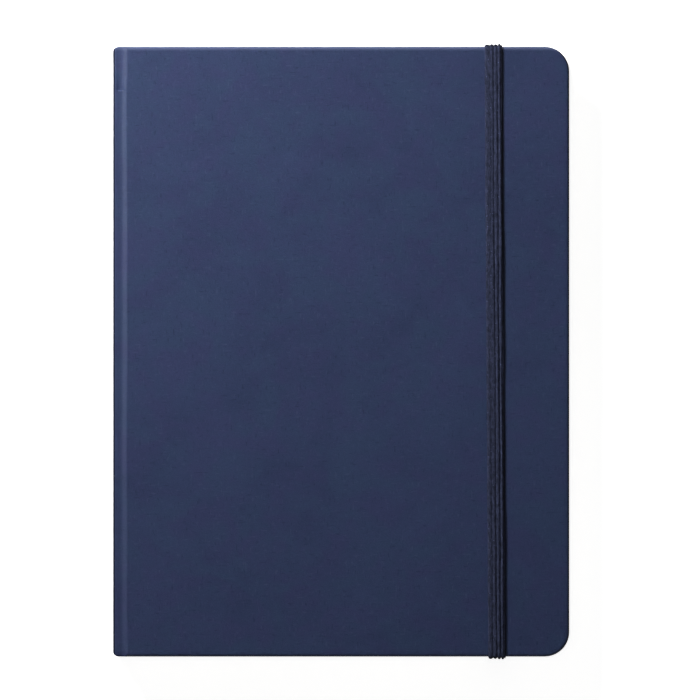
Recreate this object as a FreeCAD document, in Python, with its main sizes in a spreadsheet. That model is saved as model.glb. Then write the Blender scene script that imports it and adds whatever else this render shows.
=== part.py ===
import FreeCAD, Part
import os
import re
import Sketcher
from FreeCAD import Placement, Rotation, Vector

# A case-bound logbook lying on its back cover, front cover up. Millimetres.
# +X runs from the spine to the fore edge, +Y from tail to head, +Z from the back cover to the front.
# The origin is on the back cover's outer face, under the middle of the book.

DIMENSIONS = {
    "cover_width": 190.0,  # spine face to fore edge
    "cover_height": 254.0,  # tail to head
    "book_thickness": 17.4,  # outer face to outer face
    "wrap_thickness": 0.6,  # covering sheet
    "board_thickness": 2.0,
    "board_start": 6.0,  # spine face to the spine edge of each cover board
    "fore_corner_radius": 10.2,
    "edge_round": 1.2,  # rounding of the covers' outer rims
    "inner_edge_round": 0.8,  # rounding of the covers' inner rims
    "turn_in_width": 15.0,  # covering folded over the boards' inner edges
    "turn_in_thickness": 0.3,
    "paste_thickness": 0.15,  # endpaper sheet glued to a board
    "paste_start": 6.2,
    "plug_margin": 0.2,  # gap between a pastedown's body and the turn-ins round it
    "shoulder_radius": 2.6,  # rounded shoulder between the spine and each joint
    "shoulder_drop": 0.6,  # shoulder's depth below the cover's face
    "shoulder_reach": 1.95,  # how far the shoulder's shell runs in from the spine face
    "joint_start": 2.3,  # the flexible joint strip starts and ends here
    "joint_end": 5.95,
    "spine_board_thickness": 1.2,
    "page_square": 3.0,  # how far the covers stand out past the pages
    "page_corner_radius": 8.2,
    "block_start": 3.2,  # spine face to the folds of the signatures
    "block_level": 3.3,  # outer face to the outermost signature
    "signature_pitch": 0.9,
    "signature_thickness": 0.88,
    "fold_round": 0.35,
    "flyleaf_level": 3.1,
    "flyleaf_thickness": 0.12,
    "liner_start": 2.4,
    "liner_thickness": 0.15,
    "liner_height": 244.0,
    "mull_height": 230.0,
    "bead_radius": 0.75,
    "bead_offset": 0.8,  # bead centre past the pages' head or tail
    "bead_start": 3.6,
    "bead_level": 3.4,
    "tape_start": 2.7,
    "tape_thickness": 0.2,
    "tape_height": 12.0,
    "thread_radius": 0.1,
    "thread_start": 3.05,
    "thread_level": 3.6,
    "station_pitch": 28.0,  # between sewing stations
    "band_centre": 159.4,  # spine face to the middle of the elastic band
    "band_width": 7.8,
    "band_thickness": 0.8,
    "band_gap": 0.02,  # between the stretched band and the covers
    "band_level": 0.05,  # underside of the band above the resting face
    "band_clearance": 0.2,  # each side of the band in its channel, slot and recess
    "channel_depth": 0.9,
    "slot_inset": 10.0,  # cover's edge to the middle of the slot
    "slot_width": 1.2,
    "channel_end": 11.2,  # cover's edge to the inner end of the channel
    "tail_length": 20.0,  # glued length of each end of the band
    "tail_thickness": 0.45,
    "tail_recess": 0.5,
}
SIGNATURES = 12
STATIONS = 8

# Expressions that several pieces share, written with the sheet's aliases.
SPINE = "-cover_width / 2"
MID_BOOK = "book_thickness / 2"
PAGE_HALF = "(cover_height / 2 - page_square)"
BOARD_HALF = "(cover_height / 2 - wrap_thickness)"
COVER_DEPTH = "(wrap_thickness + board_thickness + turn_in_thickness)"
AXIS_LEVEL = "(shoulder_drop + shoulder_radius)"
SLOT_Y = "(cover_height / 2 - slot_inset)"
BAND_LEFT = f"{SPINE} + band_centre - band_width / 2"

doc = FreeCAD.newDocument("logbook")
sheet = doc.addObject("Spreadsheet::Sheet", "dims")
for row, (alias, number) in enumerate(DIMENSIONS.items(), start=1):
    sheet.set(f"A{row}", alias)
    sheet.set(f"B{row}", str(number))
    sheet.setAlias(f"B{row}", alias)
doc.recompute()

pieces = []


def bound(text):
    """The expression with each alias read from the sheet."""
    return re.sub(r"[a-z_]+", lambda word: "dims." + word.group(0), text)


def size(alias):
    return float(sheet.get(alias))


def keep(piece, label):
    piece.Label = label
    pieces.append(piece)
    return piece


def new_body(label):
    return keep(doc.addObject("PartDesign::Body", label), label)


def set_base(target, prop, values):
    for axis, text in zip("xyz", values):
        target.setExpression(f"{prop}.Base.{axis}", bound(text))


def new_sketch(body, name, role, corner):
    """A sketch on one of the body's own planes, moved to corner in the plane's x, y and normal."""
    sketch = body.newObject("Sketcher::SketchObject", name)
    plane = next(f for f in body.Origin.OriginFeatures if f.Role == role)
    sketch.AttachmentSupport = [(plane, "")]
    sketch.MapMode = "FlatFace"
    set_base(sketch, "AttachmentOffset", corner)
    return sketch


def bind_distance(sketch, kind, first, second, name, text):
    """Bind the distance between two sketch points, each a (geometry, end) pair, to an expression."""
    index = sketch.addConstraint(Sketcher.Constraint(kind, *first, *second, 20.0))
    sketch.renameConstraint(index, name)
    sketch.setExpression(f"Constraints.{name}", bound(text))


def draw_loop(sketch, points):
    count = len(points)
    for k in range(count):
        sketch.addGeometry(Part.LineSegment(points[k], points[(k + 1) % count]), False)
    for k in range(count):
        sketch.addConstraint(Sketcher.Constraint("Coincident", k, 2, (k + 1) % count, 1))


def rectangle(body, name, role, corner, width, height):
    sketch = new_sketch(body, name, role, corner)
    draw_loop(sketch, [Vector(0, 0), Vector(20, 0), Vector(20, 20), Vector(0, 20)])
    for line in (0, 2):
        sketch.addConstraint(Sketcher.Constraint("Horizontal", line))
    for line in (1, 3):
        sketch.addConstraint(Sketcher.Constraint("Vertical", line))
    sketch.addConstraint(Sketcher.Constraint("Coincident", 0, 1, -1, 1))
    bind_distance(sketch, "DistanceX", (0, 1), (0, 2), "width", width)
    bind_distance(sketch, "DistanceY", (1, 1), (1, 2), "height", height)
    return sketch


def pad(body, name, sketch, length):
    feature = body.newObject("PartDesign::Pad", name)
    feature.Profile = sketch
    feature.setExpression("Length", bound(length))
    doc.recompute()
    return feature


def pocket(body, name, sketch, length):
    """Cut against the sketch's normal, and make sure that something was cut."""
    before = body.Shape.Volume
    feature = body.newObject("PartDesign::Pocket", name)
    feature.Profile = sketch
    feature.setExpression("Length", bound(length))
    doc.recompute()
    if body.Shape.Volume >= before:
        raise RuntimeError(f"{body.Label}: {name} cuts nothing")
    return feature


def fillet(body, name, radius, wanted):
    """Round the edges that the function wanted accepts."""
    edges = [f"Edge{k}" for k, edge in enumerate(body.Shape.Edges, start=1) if wanted(edge)]
    if not edges:
        raise RuntimeError(f"{body.Label}: {name} finds no edge")
    base = body.Tip
    feature = body.newObject("PartDesign::Fillet", name)
    feature.Base = (base, edges)
    feature.setExpression("Radius", bound(radius))
    doc.recompute()
    return feature


def upright_at(x, y):
    """Accepts the upright edges that stand at x and at plus or minus y."""

    def wanted(edge):
        box = edge.BoundBox
        upright = box.XLength < 0.01 and box.YLength < 0.01
        return upright and abs(box.XMin - x) < 0.01 and abs(abs(box.YMin) - y) < 0.01

    return wanted


def rim_at(z):
    """Accepts a cover's outer rim at height z, but not its straight edge at the joint."""
    joint_x = size("board_start") - size("cover_width") / 2
    near_y = size("cover_height") / 2 - size("fore_corner_radius") - 0.1
    near_x = size("cover_width") / 2 - size("fore_corner_radius") - 0.1

    def wanted(edge):
        box = edge.BoundBox
        level = box.ZLength < 0.01 and abs(box.ZMin - z) < 0.01
        outer = box.XMin > near_x or min(abs(box.YMin), abs(box.YMax)) > near_y
        return level and outer and box.XMax > joint_x + 1

    return wanted


def along(axis, *tests):
    """Accepts straight edges along an axis whose box meets every test."""

    def wanted(edge):
        box = edge.BoundBox
        lengths = {"X": box.XLength, "Y": box.YLength, "Z": box.ZLength}
        straight = all(v < 0.01 for k, v in lengths.items() if k != axis)
        return straight and all(test(box) for test in tests)

    return wanted


def plate(label, corner, lengths):
    """A flat rectangular piece from its lowest corner and its three lengths."""
    body = new_body(label)
    sketch = rectangle(body, f"{label}_outline", "XY_Plane", corner, lengths[0], lengths[1])
    pad(body, f"{label}_pad", sketch, lengths[2])
    return body


def lowest(side, level, thickness):
    """The underside of a layer that starts at level from the outer face of one of the covers."""
    if side == "back":
        return level
    return f"book_thickness - ({level}) - ({thickness})"


def highest(side, level, thickness):
    return f"{lowest(side, level, thickness)} + ({thickness})"


def make_wrap(side):
    """The covering round one board: a hollow skin, open at the joint, folded over the inner face."""
    body = plate(
        f"{side}_wrap",
        (f"{SPINE} + board_start", "-cover_height / 2", lowest(side, "0", COVER_DEPTH)),
        ("cover_width - board_start", "cover_height", COVER_DEPTH),
    )
    cavity = rectangle(
        body,
        f"{side}_cavity_outline",
        "XY_Plane",
        (
            f"{SPINE} + joint_end - 1",
            f"-{BOARD_HALF}",
            highest(side, "wrap_thickness", "board_thickness"),
        ),
        "cover_width - joint_end + 1 - wrap_thickness",
        f"2 * {BOARD_HALF}",
    )
    pocket(body, f"{side}_cavity", cavity, "board_thickness")
    window = rectangle(
        body,
        f"{side}_window_outline",
        "XY_Plane",
        (
            f"{SPINE} + joint_end - 1",
            f"turn_in_width - {BOARD_HALF}",
            highest(side, "wrap_thickness + board_thickness", "turn_in_thickness"),
        ),
        "cover_width - joint_end + 1 - wrap_thickness - turn_in_width",
        f"2 * ({BOARD_HALF} - turn_in_width)",
    )
    pocket(body, f"{side}_window", window, "turn_in_thickness")
    edge_x = size("cover_width") / 2
    edge_y = size("cover_height") / 2
    skin = size("wrap_thickness")
    fillet(
        body,
        f"{side}_cavity_corners",
        "fore_corner_radius - wrap_thickness",
        upright_at(edge_x - skin, edge_y - skin),
    )
    fillet(body, f"{side}_corners", "fore_corner_radius", upright_at(edge_x, edge_y))
    depth = skin + size("board_thickness") + size("turn_in_thickness")
    outer_z = 0.0 if side == "back" else size("book_thickness")
    inner_z = depth if side == "back" else size("book_thickness") - depth
    fillet(body, f"{side}_outer_rim", "edge_round", rim_at(outer_z))
    fillet(body, f"{side}_inner_rim", "inner_edge_round", rim_at(inner_z))
    return body


def make_board(side):
    body = plate(
        f"{side}_board",
        (
            f"{SPINE} + board_start",
            f"-{BOARD_HALF}",
            lowest(side, "wrap_thickness", "board_thickness"),
        ),
        ("cover_width - board_start - wrap_thickness", f"2 * {BOARD_HALF}", "board_thickness"),
    )
    skin = size("wrap_thickness")
    corner = upright_at(size("cover_width") / 2 - skin, size("cover_height") / 2 - skin)
    fillet(body, f"{side}_board_corners", "fore_corner_radius - wrap_thickness", corner)
    return body


def make_pastedown(side):
    """The endpaper's glued half: a sheet, and the filling between the turn-ins under it."""
    level = "wrap_thickness + board_thickness"
    body = plate(
        f"{side}_pastedown",
        (
            f"{SPINE} + paste_start",
            f"-{PAGE_HALF}",
            lowest(side, f"{level} + turn_in_thickness", "paste_thickness"),
        ),
        ("cover_width - paste_start - page_square", f"2 * {PAGE_HALF}", "paste_thickness"),
    )
    edge_x = size("cover_width") / 2 - size("page_square")
    edge_y = size("cover_height") / 2 - size("page_square")
    fillet(body, f"{side}_paste_corners", "page_corner_radius", upright_at(edge_x, edge_y))
    filling = rectangle(
        body,
        f"{side}_filling_outline",
        "XY_Plane",
        (
            f"{SPINE} + paste_start",
            f"turn_in_width + plug_margin - {BOARD_HALF}",
            lowest(side, level, "turn_in_thickness"),
        ),
        "cover_width - paste_start - wrap_thickness - turn_in_width - plug_margin",
        f"2 * ({BOARD_HALF} - turn_in_width - plug_margin)",
    )
    pad(body, f"{side}_filling", filling, "turn_in_thickness")
    return body


def make_leaf_shape(label, level, thickness):
    """A page-sized piece with rounded fore corners, from its underside and its thickness."""
    body = plate(
        label,
        (f"{SPINE} + block_start", f"-{PAGE_HALF}", level),
        ("cover_width - block_start - page_square", f"2 * {PAGE_HALF}", thickness),
    )
    edge_x = size("cover_width") / 2 - size("page_square")
    edge_y = size("cover_height") / 2 - size("page_square")
    fillet(body, f"{label}_corners", "page_corner_radius", upright_at(edge_x, edge_y))
    return body


def make_signature(number):
    """A folded section of leaves, counted from the front, with a rounded fold at the spine."""
    label = f"signature_{number:02d}"
    level = f"book_thickness - block_level - {number} * signature_pitch"
    body = make_leaf_shape(label, level, "signature_thickness")
    fold_x = size("block_start") - size("cover_width") / 2
    fillet(body, f"{label}_fold", "fold_round", along("Y", lambda box: abs(box.XMin - fold_x) < 0.01))
    return body


def make_joint_strip(side):
    """The flexible strip between the spine's shoulder and a cover, sloping up to the cover's face."""
    body = new_body(f"{side}_joint_strip")
    corners = [
        ("joint_start", "shoulder_drop"),
        ("joint_end", "0"),
        ("joint_end", "wrap_thickness"),
        ("joint_start", "shoulder_drop + wrap_thickness"),
    ]
    if side == "front":
        corners = [(x, f"book_thickness - ({z})") for x, z in reversed(corners)]
    sketch = new_sketch(body, f"{side}_joint_profile", "XZ_Plane", (SPINE, "0", "-cover_height / 2"))
    draw_loop(sketch, [Vector(2, 1), Vector(6, 0), Vector(6, 1), Vector(2, 2)])
    for k, (x, z) in enumerate(corners):
        bind_distance(sketch, "DistanceX", (-1, 1), (k, 1), f"across_{k}", x)
        bind_distance(sketch, "DistanceY", (-1, 1), (k, 1), f"up_{k}", z)
    pad(body, f"{side}_joint_pad", sketch, "cover_height")
    return body


def box(name, corner, lengths):
    solid = doc.addObject("Part::Box", name)
    for prop, text in zip(("Length", "Width", "Height"), lengths):
        solid.setExpression(prop, bound(text))
    set_base(solid, "Placement", corner)
    return solid


def cylinder(name, base, radius, length, axis="Z"):
    turns = {"Z": Rotation(), "Y": Rotation(Vector(1, 0, 0), -90)}
    solid = doc.addObject("Part::Cylinder", name)
    solid.Placement = Placement(Vector(), turns[axis])
    solid.setExpression("Radius", bound(radius))
    solid.setExpression("Height", bound(length))
    set_base(solid, "Placement", base)
    return solid


def fuse(name, solids):
    fused = doc.addObject("Part::MultiFuse", name)
    fused.Shapes = solids
    return fused


def make_shoulder(name, level, lowest_z):
    """A quarter-round shell about the hinge axis at height level, kept clear of the joint strip."""
    base = (f"{SPINE} + shoulder_radius", "-cover_height / 2", level)
    outer = cylinder(f"{name}_outer", base, "shoulder_radius", "cover_height", "Y")
    inner = cylinder(f"{name}_inner", base, "shoulder_radius - wrap_thickness", "cover_height", "Y")
    tube = doc.addObject("Part::Cut", f"{name}_tube")
    tube.Base = outer
    tube.Tool = inner
    corner = (SPINE, "-cover_height / 2", lowest_z)
    quarter = box(f"{name}_quarter", corner, ("shoulder_reach", "cover_height", "shoulder_radius"))
    shell = doc.addObject("Part::Common", name)
    shell.Base = tube
    shell.Tool = quarter
    return shell


def make_spine_wrap():
    """The covering of the spine, with a rounded shoulder each side and turn-ins at head and tail."""
    height = f"book_thickness - 2 * {AXIS_LEVEL}"
    panel = box(
        "spine_panel",
        (SPINE, "-cover_height / 2", AXIS_LEVEL),
        ("wrap_thickness", "cover_height", height),
    )
    front_axis = f"book_thickness - {AXIS_LEVEL}"
    solids = [
        panel,
        make_shoulder("back_shoulder", AXIS_LEVEL, "shoulder_drop"),
        make_shoulder("front_shoulder", front_axis, front_axis),
    ]
    cap = "wrap_thickness + spine_board_thickness + turn_in_thickness"
    inside = f"{SPINE} + wrap_thickness + spine_board_thickness"
    for end, cap_y, flap_y in (
        ("head", BOARD_HALF, f"{BOARD_HALF} - turn_in_width"),
        ("tail", "-cover_height / 2", f"-{BOARD_HALF}"),
    ):
        edge = (cap, "wrap_thickness", height)
        solids.append(box(f"spine_cap_{end}", (SPINE, cap_y, AXIS_LEVEL), edge))
        flap = ("turn_in_thickness", "turn_in_width", height)
        solids.append(box(f"spine_flap_{end}", (inside, flap_y, AXIS_LEVEL), flap))
    return keep(fuse("spine_wrap", solids), "spine_wrap")


def make_head_band(label, side):
    """A corded bead across the end of the block's spine, on a short tape glued under the lining."""
    sign = {"head": "", "tail": "-"}[side]
    height = "book_thickness - 2 * bead_level"
    bead = cylinder(
        f"{label}_bead",
        (f"{SPINE} + bead_start", f"{sign}({PAGE_HALF} + bead_offset)", "bead_level"),
        "bead_radius",
        height,
    )
    tape_y = {
        "head": f"{PAGE_HALF} + bead_offset - tape_height",
        "tail": f"-({PAGE_HALF} + bead_offset)",
    }[side]
    tape = box(
        f"{label}_tape",
        (f"{SPINE} + tape_start", tape_y, "bead_level"),
        ("tape_thickness", "tape_height", height),
    )
    return keep(fuse(label, [bead, tape]), label)


def make_sewing_thread():
    """One thread that runs up and down the folds, from station to station along the spine."""
    thread_x = f"{SPINE} + thread_start"
    rise = "book_thickness - 2 * thread_level"
    runs = []
    for k in range(STATIONS):
        station_y = f"({k} - {STATIONS - 1} / 2) * station_pitch"
        base = (thread_x, station_y, "thread_level - thread_radius")
        runs.append(cylinder(f"thread_rise_{k}", base, "thread_radius", f"{rise} + 2 * thread_radius"))
        if k < STATIONS - 1:
            level = "thread_level" if k % 2 else "book_thickness - thread_level"
            base = (thread_x, station_y, level)
            runs.append(cylinder(f"thread_run_{k}", base, "thread_radius", "station_pitch", "Y"))
    return keep(fuse("sewing_thread", runs), "sewing_thread")


def cut_band_path():
    """The channels, slots and glue recesses that the elastic band needs in the back cover."""
    left = f"{BAND_LEFT} - band_clearance"
    width = "band_width + 2 * band_clearance"
    wrap = next(piece for piece in pieces if piece.Label == "back_wrap")
    board = next(piece for piece in pieces if piece.Label == "back_board")
    for end, sign in (("head", 1), ("tail", -1)):

        def cut(body, kind, near, far, top, depth):
            """A pocket between two distances from the middle of the book, towards this end."""
            y = near if sign > 0 else f"-({far})"
            name = f"{body.Label}_{kind}_{end}"
            span = f"{far} - ({near})"
            outline = rectangle(body, f"{name}_outline", "XY_Plane", (left, y, top), width, span)
            pocket(body, name, outline, depth)

        inner = "cover_height / 2 - channel_end"
        outer = "cover_height / 2 + 1"
        cut(wrap, "channel", inner, outer, "channel_depth", "channel_depth")
        cut(board, "channel", inner, outer, "channel_depth", "channel_depth - wrap_thickness")
        top = "wrap_thickness + board_thickness"
        slot = (f"{SLOT_Y} - slot_width / 2", f"{SLOT_Y} + slot_width / 2")
        cut(board, "slot", *slot, top, "board_thickness")
        cut(board, "recess", f"{SLOT_Y} - tail_length", slot[1], top, "tail_recess")


def make_elastic_band():
    """The stretched closing band, from slot to slot round the head, the front face and the tail."""
    body = new_body("elastic_band")
    half = "(cover_height / 2 + band_gap)"
    outer = rectangle(
        body,
        "band_outer_outline",
        "YZ_Plane",
        (f"-{half} - band_thickness", "band_level", BAND_LEFT),
        f"2 * ({half} + band_thickness)",
        "book_thickness + band_gap + band_thickness - band_level",
    )
    pad(body, "band_block", outer, "band_width")
    right = f"{BAND_LEFT} + band_width"
    underside = "band_level + band_thickness"
    inner = rectangle(
        body,
        "band_inner_outline",
        "YZ_Plane",
        (f"-{half}", underside, right),
        f"2 * {half}",
        f"book_thickness + band_gap - ({underside})",
    )
    pocket(body, "band_inside", inner, "band_width")
    reach = f"({SLOT_Y} + band_thickness / 2 + band_level)"
    gap = rectangle(
        body,
        "band_gap_outline",
        "YZ_Plane",
        (f"-{reach}", "band_level", right),
        f"2 * {reach}",
        "band_thickness",
    )
    pocket(body, "band_opening", gap, "band_width")
    thick = size("band_thickness")
    inner_y = size("cover_height") / 2 + size("band_gap")
    inner_z = size("book_thickness") + size("band_gap")

    def corner(y, z):
        return along("X", lambda edge: abs(abs(edge.YMin) - y) < 0.01 and abs(edge.ZMin - z) < 0.01)

    fillet(body, "band_inner_bends", "edge_round", corner(inner_y, inner_z))
    outer_corner = corner(inner_y + thick, inner_z + thick)
    fillet(body, "band_outer_bends", "edge_round + band_thickness", outer_corner)
    low = size("band_level")
    fillet(body, "band_low_bends", "band_thickness - band_level", corner(inner_y + thick, low))
    return body


def make_elastic_end(end):
    """One end of the band: up through the slot and glued flat in the board's recess."""
    leg_y = {
        "head": f"{SLOT_Y} - band_thickness / 2",
        "tail": f"-({SLOT_Y} + band_thickness / 2)",
    }[end]
    top = "(wrap_thickness + board_thickness - tail_recess + tail_thickness)"
    body = plate(
        f"elastic_end_{end}",
        (BAND_LEFT, leg_y, "band_level"),
        ("band_width", "band_thickness", f"{top} - band_level"),
    )
    tail_y = {
        "head": f"{SLOT_Y} - tail_length + band_thickness",
        "tail": f"-({SLOT_Y})",
    }[end]
    tail = rectangle(
        body,
        f"elastic_tail_{end}_outline",
        "XY_Plane",
        (BAND_LEFT, tail_y, f"{top} - tail_thickness"),
        "band_width",
        "tail_length - band_thickness",
    )
    pad(body, f"elastic_tail_{end}", tail, "tail_thickness")
    return body


for cover in ("front", "back"):
    make_wrap(cover)
    make_board(cover)
    make_pastedown(cover)
    make_joint_strip(cover)
    level = lowest(cover, "flyleaf_level", "flyleaf_thickness")
    make_leaf_shape(f"{cover}_flyleaf", level, "flyleaf_thickness")
for count in range(1, SIGNATURES + 1):
    make_signature(count)

spine_height = f"book_thickness - 2 * {AXIS_LEVEL}"
make_spine_wrap()
plate(
    "spine_board",
    (f"{SPINE} + wrap_thickness", f"-{BOARD_HALF}", AXIS_LEVEL),
    ("spine_board_thickness", f"2 * {BOARD_HALF}", spine_height),
)
plate(
    "spine_liner",
    (f"{SPINE} + liner_start", "-liner_height / 2", "bead_level"),
    ("liner_thickness", "liner_height", "book_thickness - 2 * bead_level"),
)
plate(
    "mull",
    (f"{SPINE} + liner_start + liner_thickness", "-mull_height / 2", "bead_level"),
    ("liner_thickness", "mull_height", "book_thickness - 2 * bead_level"),
)
make_head_band("head_band", "head")
make_head_band("tail_band", "tail")
make_sewing_thread()
cut_band_path()
make_elastic_band()
for band_end in ("head", "tail"):
    make_elastic_end(band_end)

doc.recompute()
failed = [item.Name for item in doc.Objects if {"Invalid", "Error"} & set(item.State)]
if failed:
    raise RuntimeError(f"failed objects: {failed}")
for piece in pieces:
    if piece.Shape.isNull() or not piece.Shape.isValid() or len(piece.Shape.Solids) != 1:
        raise RuntimeError(f"{piece.Label} is not one valid solid")

os.makedirs("parts", exist_ok=True)
for piece in pieces:
    piece.Shape.exportStep(os.path.join("parts", f"{piece.Label}.step"))
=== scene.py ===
import math
import random

import bmesh
import bpy
import numpy as np
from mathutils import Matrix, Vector


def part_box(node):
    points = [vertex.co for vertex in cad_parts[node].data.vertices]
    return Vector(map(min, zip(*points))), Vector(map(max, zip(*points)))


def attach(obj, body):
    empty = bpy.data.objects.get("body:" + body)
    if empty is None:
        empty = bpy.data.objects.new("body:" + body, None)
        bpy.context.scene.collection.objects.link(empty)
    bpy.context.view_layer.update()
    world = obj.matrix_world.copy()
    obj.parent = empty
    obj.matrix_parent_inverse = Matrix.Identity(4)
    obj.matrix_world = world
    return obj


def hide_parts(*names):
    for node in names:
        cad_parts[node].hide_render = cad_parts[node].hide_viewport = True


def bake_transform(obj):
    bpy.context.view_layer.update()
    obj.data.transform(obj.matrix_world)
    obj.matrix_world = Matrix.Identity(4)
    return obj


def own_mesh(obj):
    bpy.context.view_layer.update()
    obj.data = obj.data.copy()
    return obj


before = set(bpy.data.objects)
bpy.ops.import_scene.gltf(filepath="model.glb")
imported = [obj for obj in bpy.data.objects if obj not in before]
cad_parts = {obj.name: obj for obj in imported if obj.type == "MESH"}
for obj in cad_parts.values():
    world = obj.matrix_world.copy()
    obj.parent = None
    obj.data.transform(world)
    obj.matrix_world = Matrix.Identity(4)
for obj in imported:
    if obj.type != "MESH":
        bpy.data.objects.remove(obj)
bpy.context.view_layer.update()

# A navy pilot logbook lying on its back cover, seen from straight above. Metres, in the frame's axes:
# +X from the spine to the fore edge, +Y from tail to head, +Z up through the front cover.

MM = 0.001

# Places read from the frame
front_low, front_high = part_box("front_wrap")
spine_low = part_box("spine_wrap")[0]
leaf_low, leaf_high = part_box("signature_12")
band_low, band_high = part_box("elastic_band")

SPINE_X = spine_low.x
FORE_X = front_high.x
HALF_Y = front_high.y
TOP_Z = front_high.z
PANEL_THICK = front_high.z - front_low.z

# The covering's outline and section, measured in from its edge
CORNER_RADIUS = 10.2 * MM
CORNER_STEPS = 12
SMALLEST_RADIUS = 0.3 * MM
EDGE_STEPS = 4
FACE_MARGIN = 2.0 * MM
OUTER_ROUNDING = 0.414
INNER_ROUNDING = 0.276
OUTER_STEPS = 5
INNER_STEPS = 4
UNDERSIDE_START = 0.4 * MM
TURN_IN = 15.6 * MM
TURN_IN_EDGE = 0.3 * MM
TURN_IN_BEVEL = (0.2 * MM, 0.06 * MM)

# The joint and the spine, measured from the spine's outside and down from the cover's face; the columns
# of the panel's edge are in mm
PANEL_START = 7.4 * MM
PANEL_COLUMNS = (7.0, 6.6, 6.3, 6.0)
JOINT_START = 5.85 * MM
JOINT_COLUMNS = 20
JOINT_THICK = 1.25 * MM
JOINT_DROP = 1.0 * MM
SLOPE_START = 2.55 * MM
SLOPE_END = 6.05 * MM
SLOPE_SKEW = 1.6
SLOPE_WANDER = ((0.10 * MM, 41, 0.4), (0.07 * MM, 97, 2.0))
SHOULDER_ROUND = 1.3 * MM
SHOULDER_STEPS = 7
SPINE_THICK = 2.1 * MM
SPINE_STEPS = 4
SPINE_ROUNDING = 0.22
SPINE_SHORT = 0.5 * MM
SPINE_SHORT_OVER = 2.2 * MM
SEAM_ABOVE_SHOULDER = 1.2 * MM

# The turned-in covering behind the joint, and the crease across it near the head
HEAD_FLAP = 12.6 * MM
TAIL_FLAP = 7.6 * MM
FLAP_THICK = 0.07 * MM
FLAP_THICK_SHOULDER = 0.06 * MM
FLAP_SPREAD = 0.30 * MM
CREASE_FROM_HEAD = 18.2 * MM
CREASE_STEP = 0.5 * MM
CREASE_DEPTH = 0.36 * MM
CREASE_REACH = 3 * MM
CREASE_X = (1.4 * MM, 4.8 * MM)
LOOSE_PULL = 0.50 * MM

# Rows of points along the covering, with their spacing near the ends and at the crease in mm
END_ROWS = 27
END_ROW_STEP = 0.8
MIDDLE_ROWS = 22
CREASE_ROWS = (-2, -1, 0, 2, 3)
CREASE_ROW_STEP = 0.2

# The painted shade along the covering's edges: its width, how much wider it is at the spine, which outward
# directions count as head and tail, and where it fades out under the cover
PAINTED_SHADE_WIDTH = 0.34 * MM
PAINTED_SHADE_FADE = 0.36 * MM
PAINTED_SHADE_SPINE = 0.25 * MM
HEAD_FACING = 0.93
HEAD_FACING_FADE = 0.25
TAIL_FACING = 0.6
TAIL_FACING_FADE = 0.3
TAIL_LIGHTER = 0.4
UNDERSIDE_FROM = 1.2 * MM
UNDERSIDE_FADE = 0.6 * MM
UNDERSIDE_LIGHTER = 0.7

# The pages; the two random trims are in mm
LEAVES = 8
SIGNATURES = 12
LEAF_THICK = 0.098 * MM
PAGE_CORNER = 8.2 * MM
PAGE_CORNER_STEPS = 8
GUTTER_BEND = 2.8 * MM
BEND_COLUMNS = 20
TRIM_SHORT = 0.08 * MM
TRIM_SIGNATURE = 0.05
TRIM_LEAF = 0.03

# The elastic band; each rib is its width, its crest and the foot after it, in mm
RIBS = (
    (2.10, 0.96, 0.84),
    (1.60, 1.00, 0.56),
    (1.75, 1.08, 0.54),
    (1.35, 1.20, 0.46),
    (0.55, 0.80, 0.10),
)
RIB_FOOT = 0.45
RIB_FULLNESS = 0.62
RIB_SAMPLES = 10
RIB_WANDER = ((0.08 * MM, 52, 1.2), (0.05 * MM, 171, 3.0))
FOOT_TO_HEAD = 0.22
BAND_EDGE = 0.1
BAND_EDGE_FADE = 0.5 * MM
BAND_SLANT = 1.5 * MM
BAND_X = (band_low.x + band_high.x) / 2 - 0.25 * MM
BAND_INNER_NARROWER = 0.3 * MM
BAND_GAP = 0.02 * MM
BAND_UNDERSIDE = 1.22 * MM
# Painted shadow over the band's last rib, and painted shade where the band turns down over the rims
BAND_PAINTED_SHADOW = (0.54 * MM, 0.15 * MM)
BAND_SIDE_PAINTED_SHADE = 0.95
RIM_ROUND = 1.2 * MM
LOWER_ROUND = 0.05 * MM

# The headbands
BEAD_RADIUS = 0.75 * MM
BEAD_AROUND = 14
THREAD_PITCH = 0.5 * MM
THREAD_ROWS = 6
THREAD_RELIEF = 0.14
TAPE_THICK = 0.2 * MM

# Colours; a pair is the darker and the lighter tone of a mottle
NAVY = ((0.0196, 0.0290, 0.0708), (0.0242, 0.0358, 0.0848))
NAVY_VIOLET = (0.0256, 0.0298, 0.0806)
NAVY_TEAL = (0.0219, 0.0362, 0.0800)
SLUB_LIGHT = (0.064, 0.080, 0.152)
SLUB_DARK = (0.006, 0.010, 0.032)
# Painted shade, multiplied into the cover's edges
PAINTED_EDGE_SHADE = (0.08, 0.09, 0.15)
# Painted highlight, added along the cover's head edge
PAINTED_HEAD_HIGHLIGHT = (0.019, 0.021, 0.033)
WEBBING_TONE = (0.0203, 0.0245, 0.0490)
# Painted shade and shadow, multiplied into the band's sides, underside and last rib
WEBBING_PAINTED_SHADE = (0.13, 0.13, 0.19)
PAPER = ((0.50, 0.472, 0.395), (0.56, 0.53, 0.45))
RULING = (0.16, 0.24, 0.40)
# Painted shade for the pages' head edge
PAGE_HEAD_SHADE = (0.48, 0.47, 0.45)
THREAD = ((0.020, 0.028, 0.075), (0.34, 0.32, 0.265))
MULL = ((0.36, 0.335, 0.275), (0.56, 0.535, 0.46))
LINEN = ((0.44, 0.41, 0.345), (0.56, 0.53, 0.45))
GREYBOARD = ((0.24, 0.225, 0.20), (0.36, 0.34, 0.30))
KRAFT = ((0.28, 0.17, 0.085), (0.38, 0.24, 0.12))

# The floor and the camera
FLOOR_GLOW = 0.98
FLOOR_REACH = 30.0
FLOOR_DROP = 0.02 * MM
CAMERA_HEIGHT = 3.0
FIELD = 0.2914
SENSOR = 36.0

random.seed(11)


# ---------------------------------------------------------------- meshes


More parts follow.
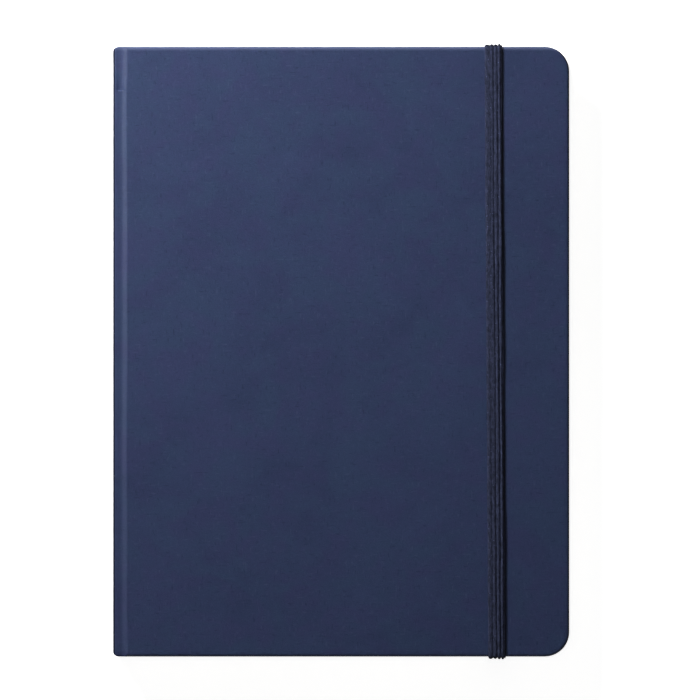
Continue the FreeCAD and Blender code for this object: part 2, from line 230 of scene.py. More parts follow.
def mesh_piece(name, points, faces, material, smooth=True, shades=None):
    """A mesh object that remembers, for its textures, where each point was at rest and, if shades are
    given, how much painted shade each point gets."""
    mesh = bpy.data.meshes.new(name)
    mesh.from_pydata([tuple(p) for p in points], [], faces)
    mesh.update()
    rest = mesh.attributes.new("rest", "FLOAT_VECTOR", "POINT")
    rest.data.foreach_set("vector", np.array([tuple(p) for p in points], np.float32).ravel())
    if shades:
        mesh.attributes.new("edge_shade", "FLOAT", "POINT").data.foreach_set("value", shades)
    for polygon in mesh.polygons:
        polygon.use_smooth = smooth
    mesh.materials.append(material)
    piece = bpy.data.objects.new(name, mesh)
    bpy.context.scene.collection.objects.link(piece)
    return piece


def point_outward(piece, inside):
    """Turn the faces outward; the face furthest from the point inside decides."""
    work = bmesh.new()
    work.from_mesh(piece.data)
    bmesh.ops.recalc_face_normals(work, faces=work.faces)
    far = max(work.faces, key=lambda face: (face.calc_center_median() - inside).length)
    if far.normal.dot(far.calc_center_median() - inside) < 0:
        bmesh.ops.reverse_faces(work, faces=work.faces)
    work.to_mesh(piece.data)
    work.free()


def smoothstep(value):
    value = min(max(value, 0.0), 1.0)
    return value * value * (3 - 2 * value)


def fade_in(value, width):
    """From 0 to 1 as the value passes zero, over the width."""
    return smoothstep(value / width + 0.5)


def wave(y, size, rate, phase):
    """Unevenness along the book."""
    return size * math.sin(rate * y + phase)


def quarter_turn(steps, first=0):
    """Angles from 0 to 90 degrees in equal steps."""
    return [math.pi / 2 * k / steps for k in range(first, steps + 1)]


def rim_profile(thick, rounding=OUTER_ROUNDING):
    """The covering's section at a free edge, from its face round to the end of its turn-in: (distance in
    from the edge, depth under the face)."""
    upper, lower = rounding * thick, INNER_ROUNDING * thick
    section = [(FACE_MARGIN, 0.0)]
    for turn in quarter_turn(OUTER_STEPS):
        section.append((upper * (1 - math.sin(turn)), upper * (1 - math.cos(turn))))
    for turn in quarter_turn(INNER_STEPS):
        section.append((lower * (1 - math.cos(turn)), thick - lower * (1 - math.sin(turn))))
    section.append((lower + UNDERSIDE_START, thick))
    section.append((TURN_IN - TURN_IN_BEVEL[0], thick))
    section.append((TURN_IN, thick - TURN_IN_BEVEL[1]))
    section.append((TURN_IN, thick - TURN_IN_EDGE))
    return section


def edge_shade(distance, out_y):
    """How much painted shade darkens the covering at a distance in from an edge that faces out_y. The head
    edge gets none and the tail edge less than the others."""
    near = 1 - smoothstep((distance - PAINTED_SHADE_WIDTH) / PAINTED_SHADE_FADE)
    not_head = smoothstep((HEAD_FACING - out_y) / HEAD_FACING_FADE)
    tail = smoothstep((-out_y - TAIL_FACING) / TAIL_FACING_FADE)
    return near * not_head * (1 - TAIL_LIGHTER * tail)


def panel_path(inset, start_x):
    """Half outline of a cover at a distance in from its edge, as (x, y, outward y): head, fore edge, tail."""
    radius = max(CORNER_RADIUS - inset, SMALLEST_RADIUS)
    x, y = FORE_X - inset - radius, HALF_Y - inset - radius
    along = [start_x + (x - start_x) * k / EDGE_STEPS for k in range(EDGE_STEPS)]
    path = [(edge_x, HALF_Y - inset, 1.0) for edge_x in along]
    for centre_y, first in ((y, 90), (-y, 0)):
        for k in range(CORNER_STEPS + 1):
            turn = math.radians(first - 90 * k / CORNER_STEPS)
            out_x, out_y = math.cos(turn), math.sin(turn)
            path.append((x + radius * out_x, centre_y + radius * out_y, out_y))
    path += [(edge_x, inset - HALF_Y, -1.0) for edge_x in reversed(along)]
    return path


def joint_dip(x, y):
    """How far the covering dips under the cover's face, at x from the spine and at y: the groove, thicker
    where the turned-in covering lies behind it, with a step down at the crease that dies out toward the
    head."""
    head, tail = HALF_Y - y, HALF_Y + y
    wander = sum(wave(y, *each) for each in SLOPE_WANDER)
    double = fade_in(HEAD_FLAP - head, MM) + 0.5 * fade_in(TAIL_FLAP - tail, MM)
    loose = fade_in(CREASE_FROM_HEAD - head, CREASE_STEP)
    start = SLOPE_START + wander - LOOSE_PULL * loose
    end = SLOPE_END + wander + FLAP_SPREAD * double
    along = min(max((x - start) / (end - start), 0.0), 1.0)
    share = smoothstep(along**SLOPE_SKEW)
    crease = CREASE_DEPTH * loose * math.exp(-max(CREASE_FROM_HEAD - head, 0.0) / CREASE_REACH)
    crease *= smoothstep((x - CREASE_X[0]) / MM) * smoothstep((CREASE_X[1] - x) / MM)
    return JOINT_DROP * (1 - share) + crease - FLAP_THICK * double * (1 - share)


def middle_rows():
    """The y of each row between the two rims: close together near the head and tail, closest at the
    crease."""
    steps = [FACE_MARGIN + k * END_ROW_STEP * MM for k in range(END_ROWS)]
    wide = HALF_Y - steps[-1]
    middle = [wide - 2 * wide * k / MIDDLE_ROWS for k in range(MIDDLE_ROWS + 1)]
    crease = [HALF_Y - CREASE_FROM_HEAD + k * CREASE_ROW_STEP * MM for k in CREASE_ROWS]
    rows = [HALF_Y - s for s in steps[:-1]] + middle + [s - HALF_Y for s in reversed(steps[:-1])]
    return sorted(rows + crease, reverse=True)


def outer_stations(last_depth):
    """Points down the joint and the shoulder to the spine: (x from the spine, depth under the face,
    outward direction in x and z, thickness). The depth is None on the joint, where joint_dip has it."""
    up = (0.0, 1.0)
    stations = [(x * MM, None, up, PANEL_THICK) for x in PANEL_COLUMNS]
    for k in range(JOINT_COLUMNS):
        x = JOINT_START - k * (JOINT_START - SHOULDER_ROUND) / (JOINT_COLUMNS - 1)
        stations.append((x, None, up, JOINT_THICK))
    centre = JOINT_DROP + SHOULDER_ROUND
    for k, turn in enumerate(quarter_turn(SHOULDER_STEPS, 1), 1):
        x = SHOULDER_ROUND * (1 - math.sin(turn))
        down = centre - SHOULDER_ROUND * math.cos(turn)
        thick = JOINT_THICK + (SPINE_THICK - JOINT_THICK) * k / SHOULDER_STEPS
        stations.append((x, down, (-math.sin(turn), math.cos(turn)), thick))
    low = stations[-1][1]
    for k in range(1, SPINE_STEPS + 1):
        stations.append((0.0, low + (last_depth - low) * k / SPINE_STEPS, (-1.0, 0.0), SPINE_THICK))
    return stations


def build_case(name, material, last_depth, flip):
    """One cover's covering with its joint and its part of the spine, as one skin. Depths are measured
    down from the cover's face; flip turns the shape over for the back cover."""
    points, faces, shades = [], [], []

    def add(x, y, depth, shade=0.0):
        points.append(Vector((x, y, depth if flip else TOP_Z - depth)))
        shades.append(shade)
        return len(points) - 1

    start_x = SPINE_X + PANEL_START
    rings = []
    for inset, depth in rim_profile(PANEL_THICK):
        # Each point carries its share of the painted edge shade
        fade = 1 - UNDERSIDE_LIGHTER * smoothstep((depth - UNDERSIDE_FROM) / UNDERSIDE_FADE)
        path = panel_path(inset, start_x)
        rings.append([add(x, y, depth, fade * edge_shade(inset, out_y)) for x, y, out_y in path])
    for first, second in zip(rings, rings[1:]):
        for j in range(len(first) - 1):
            faces.append((first[j], first[j + 1], second[j + 1], second[j]))

    rows = middle_rows()[1:-1]
    middle = [add(start_x, y, 0.0) for y in rows]
    faces.append(tuple(rings[0] + middle[::-1]))

    column = [ring[0] for ring in reversed(rings)] + middle + [ring[-1] for ring in rings]
    for x, down, (out_x, out_z), thick in outer_stations(last_depth):
        rounding = OUTER_ROUNDING - SPINE_ROUNDING * out_x
        profile = rim_profile(thick, rounding)
        ends = SPINE_SHORT * (1 - smoothstep(x / SPINE_SHORT_OVER))
        fade = 1 if down is None else 1 - smoothstep((down - JOINT_DROP - SHOULDER_ROUND) / MM)
        new = []
        for side, order in ((1, list(reversed(profile))), (0, rows), (-1, profile)):
            for entry in order:
                if side:
                    inset, depth = entry
                    y = side * (HALF_Y - inset - ends)
                    turned = side * max(0.0, 1 - inset / (rounding * thick))
                    shade = max(edge_shade(x - PAINTED_SHADE_SPINE, turned), edge_shade(inset, side))
                else:
                    y, depth = entry, 0.0
                    shade = edge_shade(x - PAINTED_SHADE_SPINE, 0.0)
                surface = joint_dip(x, y) if down is None else down
                if down is not None and x > 0:
                    surface -= FLAP_THICK_SHOULDER * fade_in(HEAD_FLAP - (HALF_Y - y), MM) * out_z
                new.append(add(SPINE_X + x - out_x * depth, y, surface + out_z * depth, shade * fade))
        for i in range(len(column) - 1):
            faces.append((column[i], column[i + 1], new[i + 1], new[i]))
        column = new
    piece = mesh_piece(name, points, faces, material, shades=shades)
    point_outward(piece, Vector((0, 0, TOP_Z / 2)))
    return piece


def build_leaf(points, faces, low_z, start_x, end_x, half_y):
    """One leaf as a thin slab, with rows of points near the fold."""
    columns = [start_x + GUTTER_BEND * k / (BEND_COLUMNS - 1) for k in range(BEND_COLUMNS)]
    corner_x, corner_y = end_x - PAGE_CORNER, half_y - PAGE_CORNER
    head = [(x, half_y) for x in columns]
    arc = []
    for k in range(PAGE_CORNER_STEPS + 1):
        turn = math.radians(90 - 90 * k / PAGE_CORNER_STEPS)
        arc.append((corner_x + PAGE_CORNER * math.cos(turn), corner_y + PAGE_CORNER * math.sin(turn)))
    outline = head + arc + [(x, -y) for x, y in reversed(arc)] + [(x, -y) for x, y in reversed(head)]
    count = len(outline)
    first = len(points)
    for z in (low_z, low_z + LEAF_THICK):
        points.extend(Vector((x, y, z)) for x, y in outline)
    for layer in (0, count):
        for k in range(len(columns) - 1):
            quad = (k, k + 1, count - 2 - k, count - 1 - k)
            faces.append(tuple(first + layer + i for i in quad))
        flat_part = range(len(columns) - 1, count - len(columns) + 1)
        faces.append(tuple(first + layer + i for i in flat_part))
    for k in range(count):
        after = (k + 1) % count
        faces.append((first + k, first + after, first + count + after, first + count + k))


def build_signature(number, material):
    """The leaves of one signature; their spine edges follow its rounded fold."""
    low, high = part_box(f"signature_{number:02d}")
    points, faces = [], []
    pitch = (high.z - low.z) / LEAVES
    radius = (high.z - low.z) / 2
    shift = random.uniform(-TRIM_SIGNATURE, TRIM_SIGNATURE) * MM
    for k in range(LEAVES):
        z = low.z + pitch * k + (pitch - LEAF_THICK) / 2
        away = abs(z + LEAF_THICK / 2 - low.z - radius)
        fold = radius - math.sqrt(radius**2 - away**2)
        trim = random.uniform(-TRIM_LEAF, TRIM_LEAF) * MM + shift - TRIM_SHORT
        build_leaf(points, faces, z, low.x + fold, high.x + trim, high.y + trim)
    piece = mesh_piece(f"leaves_{number:02d}", points, faces, material, smooth=False)
    point_outward(piece, Vector((low.x - 1, 0, (low.z + high.z) / 2)))
    return piece


def band_path():
    """The band's inner line round the book, as (y, z, outward y, outward z): half of it from the middle of
    the front over the rim, down and under to the slot, then the same mirrored."""
    inner_y, inner_z = HALF_Y + BAND_GAP, TOP_Z + BAND_GAP
    low_z = band_low.z + BAND_UNDERSIDE
    slot_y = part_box("elastic_end_head")[1].y
    face_rings, side_rings, under_rings = 96, 12, 4
    half = [((inner_y - RIM_ROUND) * k / face_rings, inner_z, 0.0, 1.0) for k in range(face_rings + 1)]
    for turn in quarter_turn(8, 1):
        out_y, out_z = math.sin(turn), math.cos(turn)
        y = inner_y - RIM_ROUND + RIM_ROUND * out_y
        half.append((y, inner_z - RIM_ROUND + RIM_ROUND * out_z, out_y, out_z))
    for k in range(1, side_rings):
        z = inner_z - RIM_ROUND - (inner_z - RIM_ROUND - low_z) * k / side_rings
        half.append((inner_y, z, 1.0, 0.0))
    under_y = inner_y - LOWER_ROUND
    for turn in quarter_turn(6, 1):
        out_y, out_z = math.cos(turn), -math.sin(turn)
        half.append((under_y + LOWER_ROUND * out_y, low_z + LOWER_ROUND + LOWER_ROUND * out_z, out_y, out_z))
    for k in range(1, under_rings + 1):
        half.append((under_y - (under_y - slot_y) * k / under_rings, low_z, 0.0, -1.0))
    mirrored = [(-y, z, -out_y, out_z) for y, z, out_y, out_z in reversed(half[1:])]
    return mirrored + half


def rib_height(x, y, turned):
    """The band's thickness at x from its left edge: rounded ribs over the rubber cords, the first ones
    close to flat and the last one narrow, each a little uneven along the band. The grooves are deeper
    toward the tail and where the band has turned down over an edge."""
    edge = min(x, sum(rib[0] for rib in RIBS) * MM - x)
    x += sum(wave(y, size, rate, twist * x / MM) for size, rate, twist in RIB_WANDER)
    x = max(x, 0.0)
    before = RIB_FOOT
    for number, (width, crest, after) in enumerate(RIBS):
        if x < width * MM:
            along = x / (width * MM)
            foot = (before + (after - before) * along) * (1 + wave(y, 0.12, 23, 2 * number))
            foot *= 1 + FOOT_TO_HEAD * y / HALF_Y
            foot *= min(1.0, 0.3 + edge / BAND_EDGE_FADE) * (1 - 0.5 * turned)
            crest *= 1 - wave(y, 0.06, 61, 2.4 * number)
            return (foot + (crest - foot) * math.sin(math.pi * along) ** RIB_FULLNESS) * MM
        x -= width * MM
        before = after
    return BAND_EDGE * MM


def build_band(material):
    """The ribbed elastic band, stretched round the book from slot to slot."""
    width = sum(rib[0] for rib in RIBS) * MM
    samples = len(RIBS) * RIB_SAMPLES
    shadow_from, shadow_fade = BAND_PAINTED_SHADOW
    points, faces, rings, shades = [], [], [], []
    for y, z, out_y, out_z in band_path():
        # Painted shade where the band turns down over the rims, and painted shadow over its last rib
        down = BAND_SIDE_PAINTED_SHADE * (1 - smoothstep((out_z - 0.68) / 0.24))
        turned = min(max(1 - out_z, 0.0), 1.0)
        middle = BAND_X - 0.5 * BAND_SLANT * y / HALF_Y + wave(y, 0.04 * MM, 150, 1.3)
        ring = []
        for k in range(samples + 1):
            across = k / samples * width
            height = rib_height(across, y + 0.7 * z, turned)
            x = middle + across - width / 2
            points.append(Vector((x, y + out_y * height, z + out_z * height)))
            shades.append(max(down, smoothstep((across - width + shadow_from) / shadow_fade)))
            ring.append(len(points) - 1)
        for share in (0.5, 0.25, 0.0, -0.25, -0.5):
            points.append(Vector((middle + share * (width - BAND_INNER_NARROWER), y, z)))
            # Painted shade on the band's underside
            shades.append(1.0)
            ring.append(len(points) - 1)
        rings.append(ring)
    for first, second in zip(rings, rings[1:]):
        count = len(first)
        for j in range(count):
            after = (j + 1) % count
            faces.append((first[j], first[after], second[after], second[j]))
    faces.append(tuple(rings[0]))
    faces.append(tuple(rings[-1]))
    piece = mesh_piece("elastic_closing_band", points, faces, material, shades=shades)
    point_outward(piece, Vector((BAND_X, 0, TOP_Z / 2)))
    return piece


def build_bead(name, node, material):
    """A worked headband: a bead wound with thread, a turn every half millimetre, on its tape."""
    low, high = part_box(node)
    sign = 1 if high.y > 0 else -1
    centre_x = high.x - BEAD_RADIUS
    centre_y = (high.y if sign > 0 else low.y) - sign * BEAD_RADIUS
    turns = round((high.z - low.z) / THREAD_PITCH)
    rows = turns * THREAD_ROWS
    around = BEAD_AROUND
    points, faces = [], []
    for k in range(rows + 1):
        z = low.z + (high.z - low.z) * k / rows
        ripple = 1 - THREAD_RELIEF + THREAD_RELIEF * abs(math.sin(math.pi * turns * k / rows))
        for j in range(around):
            turn = 2 * math.pi * j / around
            offset = Vector((math.cos(turn), math.sin(turn), 0)) * BEAD_RADIUS * ripple
            points.append(Vector((centre_x, centre_y, z)) + offset)
    for k in range(rows):
        for j in range(around):
            after = (j + 1) % around
            base = k * around
            faces.append((base + j, base + after, base + around + after, base + around + j))
    faces.append(tuple(range(around)))
    faces.append(tuple(rows * around + j for j in range(around)))
    near_y, far_y = (low.y, centre_y) if sign > 0 else (centre_y, high.y)
    first = len(points)
    corners = ((near_y, low.z), (far_y, low.z), (far_y, high.z), (near_y, high.z))
    for x in (low.x, low.x + TAPE_THICK):
        points += [Vector((x, y, z)) for y, z in corners]
    faces += [tuple(first + i for i in (0, 1, 2, 3)), tuple(first + i for i in (4, 5, 6, 7))]
    faces += [tuple(first + i for i in (k, (k + 1) % 4, 4 + (k + 1) % 4, 4 + k)) for k in range(4)]
    piece = mesh_piece(name, points, faces, material)
    point_outward(piece, Vector((centre_x, centre_y, (low.z + high.z) / 2)))
    return piece


# ---------------------------------------------------------------- materials


class Nodes:
    """A material's node tree, with short ways to add and join nodes."""

    def __init__(self, name):
        self.material = bpy.data.materials.new(name)
        self.material.use_nodes = True
        self.tree = self.material.node_tree
        self.shader = self.tree.nodes["Principled BSDF"]

    def add(self, kind, **settings):
        node = self.tree.nodes.new(kind)
        for key, value in settings.items():
            setattr(node, key, value)
        return node

    def join(self, output, target):
        self.tree.links.new(output, target)

    def rest(self):
        return self.add("ShaderNodeAttribute", attribute_name="rest").outputs["Vector"]

    def local(self):
        return self.add("ShaderNodeTexCoord").outputs["Object"]

    def edge_shade(self):
        return self.add("ShaderNodeAttribute", attribute_name="edge_shade").outputs["Fac"]

    def rise(self, value, low, high):
        node = self.add("ShaderNodeMapRange", interpolation_type="SMOOTHSTEP")
        node.inputs["From Min"].default_value = low
        node.inputs["From Max"].default_value = high
        self.join(value, node.inputs["Value"])
        return node.outputs["Result"]

    def stretch(self, vector, scale):
        node = self.add("ShaderNodeMapping")
        node.inputs["Scale"].default_value = scale
        self.join(vector, node.inputs["Vector"])
        return node.outputs["Vector"]

    def noise(self, vector, scale, detail=2.0, rough=0.5, distortion=0.0):
        node = self.add("ShaderNodeTexNoise")
        node.inputs["Scale"].default_value = scale
        node.inputs["Detail"].default_value = detail
        node.inputs["Roughness"].default_value = rough
        node.inputs["Distortion"].default_value = distortion
        self.join(vector, node.inputs["Vector"])
        return node.outputs["Fac"]

    def cells(self, vector, scale, feature="F1"):
        node = self.add("ShaderNodeTexVoronoi", feature=feature)
        node.inputs["Scale"].default_value = scale
        self.join(vector, node.inputs["Vector"])
        return node.outputs["Distance"]

    def ramp(self, value, stops):
        node = self.add("ShaderNodeValToRGB")
        while len(node.color_ramp.elements) < len(stops):
            node.color_ramp.elements.new(0.5)
        for element, (place, colour) in zip(node.color_ramp.elements, stops):
            element.position = place
            element.color = (*colour, 1) if isinstance(colour, tuple) else (colour,) * 3 + (1,)
        self.join(value, node.inputs["Fac"])
        return node.outputs["Color"]

    def math(self, kind, first, second=None, third=None):
        node = self.add("ShaderNodeMath", operation=kind)
        for socket, value in zip(node.inputs, (first, second, third)):
            if value is None:
                continue
            if isinstance(value, (int, float)):
                socket.default_value = value
            else:
                self.join(value, socket)
        return node.outputs["Value"]

    def mix(self, kind, share, first, second):
        node = self.add("ShaderNodeMix", data_type="RGBA", blend_type=kind)
        for name, value in (("Factor", share), ("A", first), ("B", second)):
            socket = next(s for s in node.inputs if s.name == name and s.enabled)
            if isinstance(value, tuple):
                socket.default_value = (*value, 1)
            elif isinstance(value, (int, float)):
                socket.default_value = value
            else:
                self.join(value, socket)
        return next(s for s in node.outputs if s.enabled)

    def axes(self, vector):
        node = self.add("ShaderNodeSeparateXYZ")
        self.join(vector, node.inputs["Vector"])
        return node.outputs

    def bands(self, vector, direction, scale, distortion):
        node = self.add("ShaderNodeTexWave", wave_type="BANDS", bands_direction=direction)
        node.inputs["Scale"].default_value = scale
        node.inputs["Distortion"].default_value = distortion
        self.join(vector, node.inputs["Vector"])
        return node.outputs["Fac"]

    def bump(self, height, distance, strength=1.0, below=None):
        node = self.add("ShaderNodeBump")
        node.inputs["Strength"].default_value = strength
        node.inputs["Distance"].default_value = distance
        self.join(height, node.inputs["Height"])
        if below is not None:
            self.join(below, node.inputs["Normal"])
        return node.outputs["Normal"]

    def surface(self, colour, rough, normal, gloss=0.5):
        """Join up the shader and return the material."""
        self.join(colour, self.shader.inputs["Base Color"])
        self.join(rough, self.shader.inputs["Roughness"])
        self.join(normal, self.shader.inputs["Normal"])
        socket = self.shader.inputs["Specular IOR Level"]
        if isinstance(gloss, float):
            socket.default_value = gloss
        else:
            self.join(gloss, socket)
        return self.material


def leatherette():
    """Navy coated cloth: cloudy colour with violet and teal patches, faint slubs of the cloth beneath,
    fine grain and satin gloss; painted shade, darker and less glossy, along every edge but the head, and a
    painted highlight along the head edge."""
    m = Nodes("navy_leatherette")
    place = m.rest()
    clouds = m.noise(place, 34, 4, 0.6, 0.8)
    hue = m.noise(place, 85, 3, 0.6, 0.5)
    grain = m.noise(place, 2600, 3, 0.6)
    pores = m.cells(place, 1500)
    base = m.ramp(clouds, [(0.32, NAVY[0]), (0.68, NAVY[1])])
    violet = m.ramp(hue, [(0.42, 0.0), (0.60, 1.0)])
    base = m.mix("MIX", m.math("MULTIPLY", violet, 0.55), base, NAVY_VIOLET)
    patches = m.noise(m.stretch(place, (1.0, 1.3, 1.0)), 52, 3, 0.6, 0.7)
    teal = m.ramp(patches, [(0.46, 0.0), (0.64, 1.0)])
    base = m.mix("MIX", m.math("MULTIPLY", teal, 0.8), base, NAVY_TEAL)
    base = m.mix("MULTIPLY", 1.0, base, m.ramp(grain, [(0.25, 0.80), (0.75, 1.16)]))
    slubs = []
    for scale in ((1500, 300, 300), (300, 1500, 300)):
        strands = m.noise(m.stretch(place, scale), 1.0, 2, 0.5)
        slubs.append(m.ramp(strands, [(0.64, 0.0), (0.73, 1.0)]))
        slubs.append(m.ramp(strands, [(0.27, 1.0), (0.36, 0.0)]))
    light = m.math("MAXIMUM", slubs[0], slubs[2])
    dark = m.math("MAXIMUM", slubs[1], slubs[3])
    base = m.mix("MIX", m.math("MULTIPLY", light, 0.17), base, SLUB_LIGHT)
    base = m.mix("MIX", m.math("MULTIPLY", dark, 0.36), base, SLUB_DARK)
    # Painted shade on the cover's edges, from the edge_shade attribute
    base = m.mix("MULTIPLY", m.edge_shade(), base, PAINTED_EDGE_SHADE)
    # Painted highlight along the head edge, where the painted edge shade leaves off
    head_highlight = m.rise(m.axes(place)["Y"], HALF_Y - 2.0 * MM, HALF_Y - 0.8 * MM)
    head_highlight = m.math("MULTIPLY", head_highlight, m.math("SUBTRACT", 1.0, m.edge_shade()))
    base = m.mix("ADD", head_highlight, base, PAINTED_HEAD_HIGHLIGHT)
    rough = m.ramp(m.noise(place, 900, 3), [(0.3, 0.36), (0.7, 0.44)])
    normal = m.bump(clouds, 0.10 * MM, 0.5)
    normal = m.bump(pores, 0.035 * MM, 0.5, normal)
    normal = m.bump(grain, 0.030 * MM, 0.7, normal)
    # Less gloss where the painted edge shade lies
    gloss = m.math("MULTIPLY_ADD", m.edge_shade(), -0.16, 0.20)
    return m.surface(base, rough, normal, gloss)


def webbing(name, at_rest):
    """Dark elastic: lengthwise ribs come from the shape, cross threads, fluff and painted shade from here.
    The texture follows the piece's rest place or, on a CAD piece, its own axes."""
    m = Nodes(name)
    place = m.rest() if at_rest else m.local()
    dark, light, fluffy = (tuple(level * c for c in WEBBING_TONE) for level in (0.66, 1.34, 6.0))
    fine = m.noise(m.stretch(place, (2600, 1400, 1400)), 1.0, 3, 0.65)
    patches = m.noise(m.stretch(place, (1000, 380, 380)), 1.0, 3, 0.7, 0.4)
    threads = m.bands(place, "Y", 560, 2.5)
    specks = m.cells(place, 620)
    base = m.ramp(fine, [(0.28, dark), (0.72, light)])
    base = m.mix("MULTIPLY", 1.0, base, m.ramp(patches, [(0.34, 0.50), (0.66, 1.50)]))
    base = m.mix("MULTIPLY", 0.7, base, m.ramp(threads, [(0.2, 0.78), (0.8, 1.18)]))
    fluff = m.ramp(specks, [(0.06, 1.0), (0.14, 0.0)])
    base = m.mix("MIX", m.math("MULTIPLY", fluff, 0.60), base, fluffy)
    # Painted shade and shadow from the edge_shade attribute
    base = m.mix("MULTIPLY", m.edge_shade(), base, WEBBING_PAINTED_SHADE)
    rough = m.ramp(fine, [(0.3, 0.70), (0.7, 0.90)])
    normal = m.bump(threads, 0.05 * MM, 0.6)
    normal = m.bump(fine, 0.05 * MM, 0.8, normal)
    return m.surface(base, rough, normal, 0.12)


def fibrous(name, tones, scale, roughest, depth):
    """Paper, board or cloth on a CAD piece: two tones in a fibrous mottle."""
    m = Nodes(name)
    place = m.local()
    fibre = m.noise(m.stretch(place, (1.0, 0.45, 1.0)), scale, 4, 0.65, 0.5)
    cloud = m.noise(place, 45, 2)
    base = m.ramp(fibre, [(0.3, tones[0]), (0.7, tones[1])])
    base = m.mix("MULTIPLY", 0.5, base, m.ramp(cloud, [(0.3, 0.90), (0.7, 1.0)]))
    rough = m.ramp(fibre, [(0.3, roughest - 0.06), (0.7, roughest)])
    return m.surface(base, rough, m.bump(fibre, depth, 0.6), 0.25)


def gauze():
    """Open-weave mull, starched stiff."""
    m = Nodes("mull_weave")
    place = m.local()
    weave = m.math("MAXIMUM", m.bands(place, "Y", 420, 0.6), m.bands(place, "Z", 420, 0.6))
    base = m.ramp(weave, [(0.35, MULL[0]), (0.65, MULL[1])])
    rough = m.ramp(weave, [(0.3, 0.8), (0.7, 0.92)])
    return m.surface(base, rough, m.bump(weave, 0.08 * MM))


def ruled_paper():
    """Cream page stock with a generic ruled table on it: rows, uneven columns and a double head line. The
    head edge of the pages carries painted shade."""
    m = Nodes("ruled_page_paper")
    place = m.rest()
    fibre = m.noise(m.stretch(place, (1.0, 0.5, 1.0)), 900, 4, 0.7)
    tone = m.noise(m.stretch(place, (1.0, 1.0, 90.0)), 30, 2)
    base = m.ramp(fibre, [(0.3, PAPER[0]), (0.7, PAPER[1])])
    base = m.mix("MULTIPLY", 0.55, base, m.ramp(tone, [(0.30, 0.84), (0.70, 1.0)]))
    parts = m.axes(place)
    x, y = parts["X"], parts["Y"]
    left, right = leaf_low.x + 17 * MM, leaf_high.x - 10 * MM
    top, bottom = leaf_high.y - 14 * MM, -leaf_high.y + 14 * MM
    double = 0.8 * MM
    row_pitch = 7.5 * MM
    rows = m.math("PINGPONG", m.math("SUBTRACT", y, bottom), row_pitch / 2)
    marks = m.math("LESS_THAN", rows, 0.075 * MM)
    head_gap = m.math("GREATER_THAN", y, top - 15.5 * MM)
    marks = m.math("SUBTRACT", marks, head_gap)
    for at in (top, top - 15 * MM, top - 15 * MM - double, bottom, bottom - double):
        marks = m.math("MAXIMUM", marks, m.math("COMPARE", y, at, 0.11 * MM))
    for share in (0.0, 0.10, 0.22, 0.34, 0.45, 0.53, 0.61, 0.69, 0.77, 0.86, 1.0):
        column = m.math("COMPARE", x, left + (right - left) * share, 0.085 * MM)
        marks = m.math("MAXIMUM", marks, column)
    for value, low, high in ((x, left, right), (y, bottom - double, top)):
        inside = m.math("COMPARE", value, (low + high) / 2, (high - low) / 2 + 0.1 * MM)
        marks = m.math("MULTIPLY", marks, inside)
    base = m.mix("MIX", m.math("MULTIPLY", marks, 0.72), base, RULING)
    # Painted shade on the pages' head edge, where the key light falls hardest
    head_shade = m.rise(y, leaf_high.y - 0.5 * MM, leaf_high.y - 0.2 * MM)
    base = m.mix("MULTIPLY", head_shade, base, PAGE_HEAD_SHADE)
    rough = m.ramp(fibre, [(0.3, 0.78), (0.7, 0.88)])
    return m.surface(base, rough, m.bump(fibre, 0.02 * MM, 0.5), 0.25)


def striped_thread():
    """The headband's turns of thread, navy and cream by twos."""
    m = Nodes("headband_thread")
    place = m.rest()
    stripe = 2 * THREAD_PITCH
    turn = m.math("PINGPONG", m.axes(place)["Z"], stripe)
    tone = m.ramp(m.math("DIVIDE", turn, stripe), [(0.46, THREAD[0]), (0.54, THREAD[1])])
    fine = m.noise(place, 4200, 3, 0.6)
    tone = m.mix("MULTIPLY", 0.8, tone, m.ramp(fine, [(0.3, 0.7), (0.7, 1.1)]))
    rough = m.ramp(fine, [(0.3, 0.55), (0.7, 0.75)])
    return m.surface(tone, rough, m.bump(fine, 0.04 * MM))


def floor_paint():
    """A pale floor that glows like a light table, for the photo's white ground."""
    m = Nodes("pale_floor")
    tone = m.ramp(m.noise(m.local(), 3, 2), [(0.3, 0.86), (0.7, 0.88)])
    m.join(tone, m.shader.inputs["Base Color"])
    m.join(tone, m.shader.inputs["Emission Color"])
    m.shader.inputs["Emission Strength"].default_value = FLOOR_GLOW
    m.shader.inputs["Roughness"].default_value = 0.9
    m.shader.inputs["Specular IOR Level"].default_value = 0.1
    return m.material


# ---------------------------------------------------------------- the book

navy = leatherette()
elastic = webbing("elastic_webbing", True)
elastic_ends = webbing("elastic_webbing_ends", False)
paper = ruled_paper()
thread = striped_thread()

seam = JOINT_DROP + SHOULDER_ROUND + SEAM_ABOVE_SHOULDER
front_case = build_case("case_front_and_spine", navy, TOP_Z - seam, False)
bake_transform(front_case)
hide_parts("front_wrap", "front_joint_strip", "spine_wrap")

back_case = build_case("case_back", navy, seam, True)
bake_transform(back_case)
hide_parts("back_wrap", "back_joint_strip")

for number in range(1, SIGNATURES + 1):
    leaves = build_signature(number, paper)
    if number <= SIGNATURES // 2:
        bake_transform(leaves)
    else:
        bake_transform(leaves)
    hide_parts(f"signature_{number:02d}")

band = build_band(elastic)
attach(band, "back_cover")
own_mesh(band)
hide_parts("elastic_band")

for end, node in (("head", "head_band"), ("tail", "tail_band")):
    bead = build_bead(f"worked_{end}band", node, thread)
    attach(bead, "spine")
    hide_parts(node)

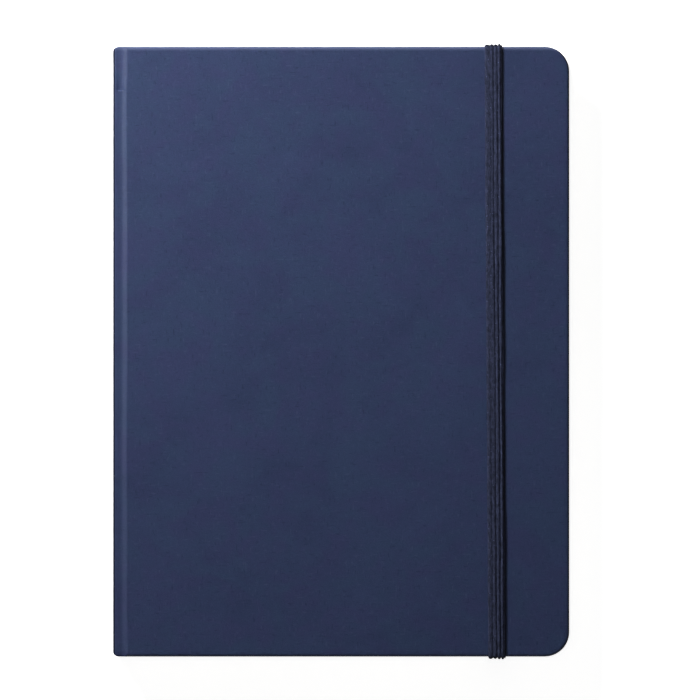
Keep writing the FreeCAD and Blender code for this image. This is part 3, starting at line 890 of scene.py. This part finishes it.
board = fibrous("greyboard", GREYBOARD, 1400, 0.9, 0.05 * MM)
endpaper = fibrous("cream_endpaper", PAPER, 800, 0.85, 0.02 * MM)
kraft = fibrous("kraft_liner", KRAFT, 900, 0.85, 0.03 * MM)
linen = fibrous("sewing_linen", LINEN, 3000, 0.8, 0.03 * MM)
finishes = {
    board: ("front_board", "back_board", "spine_board"),
    endpaper: ("front_pastedown", "back_pastedown", "front_flyleaf", "back_flyleaf"),
    kraft: ("spine_liner",),
    gauze(): ("mull",),
    linen: ("sewing_thread",),
    elastic_ends: ("elastic_end_head", "elastic_end_tail"),
}
for finish, names in finishes.items():
    for name in names:
        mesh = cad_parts[name].data
        mesh.materials.clear()
        mesh.materials.append(finish)


# ---------------------------------------------------------------- floor, light and camera


def build_floor(material):
    """A wide floor just under the book."""
    mesh = bpy.data.meshes.new("floor")
    corners = [(x * FLOOR_REACH, y * FLOOR_REACH, 0) for x, y in ((-1, -1), (1, -1), (1, 1), (-1, 1))]
    mesh.from_pydata(corners, [], [(0, 1, 2, 3)])
    mesh.materials.append(material)
    floor = bpy.data.objects.new("floor", mesh)
    floor.location.z = -FLOOR_DROP
    bpy.context.scene.collection.objects.link(floor)
    return floor


def soft_light(name, place, aim, size, power):
    """A round area light at a place, turned to its aim."""
    lamp = bpy.data.lights.new(name, "AREA")
    lamp.shape = "DISK"
    lamp.size = size
    lamp.energy = power
    light = bpy.data.objects.new(name, lamp)
    light.location = place
    light.rotation_mode = "QUATERNION"
    light.rotation_quaternion = (Vector(aim) - Vector(place)).to_track_quat("-Z", "Y")
    bpy.context.scene.collection.objects.link(light)
    return light


def build_room(levels):
    """The world: a grey level at each height of the view direction's z."""
    world = bpy.data.worlds.new("studio")
    world.use_nodes = True
    sky = world.node_tree
    direction = sky.nodes.new("ShaderNodeTexCoord")
    parts = sky.nodes.new("ShaderNodeSeparateXYZ")
    height = sky.nodes.new("ShaderNodeValToRGB")
    while len(height.color_ramp.elements) < len(levels):
        height.color_ramp.elements.new(0.5)
    for element, (place, level) in zip(height.color_ramp.elements, levels):
        element.position = place
        element.color = (level, level, level, 1)
    sky.links.new(direction.outputs["Generated"], parts.inputs["Vector"])
    sky.links.new(parts.outputs["Z"], height.inputs["Fac"])
    sky.links.new(height.outputs["Color"], sky.nodes["Background"].inputs["Color"])
    bpy.context.scene.world = world


def build_camera(x, y, height, field):
    """A camera that looks straight down from a height above the front cover, on a square field."""
    data = bpy.data.cameras.new("camera")
    data.sensor_width = SENSOR
    data.lens = SENSOR * height / field
    data.clip_start, data.clip_end = 0.1, 100
    camera = bpy.data.objects.new("camera", data)
    camera.location = (x, y, TOP_Z + height)
    bpy.context.scene.collection.objects.link(camera)
    bpy.context.scene.camera = camera


floor = build_floor(floor_paint())

# The key lights the book; the cards are only seen as soft reflections, on the cover, joint and head edge.
key = soft_light("key", (-0.36, 0.50, 0.36), (-0.02, 0.03, 0), 0.26, 10.7)
key.visible_glossy = False
for name, place, size, power in (
    ("top_card", (-0.32, 0.38, 1.00), 0.30, 2.0),
    ("spine_card", (-0.85, 0.28, 0.66), 0.30, 4.4),
    ("head_card", (0.0, 0.85, 0.56), 0.40, 2.5),
):
    card = soft_light(name, place, (0, 0, 0), size, power)
    card.visible_diffuse = False

# White at the horizon, so that low views have a plain ground, and dim overhead
build_room(((0.0, 1.05), (0.06, 1.0), (0.25, 0.20), (1.0, 0.08)))

# Far enough above the book for almost no perspective, as in the photo
build_camera(3.70 * MM, 0.68 * MM, CAMERA_HEIGHT, FIELD)
bpy.context.scene.view_settings.view_transform = "Standard"
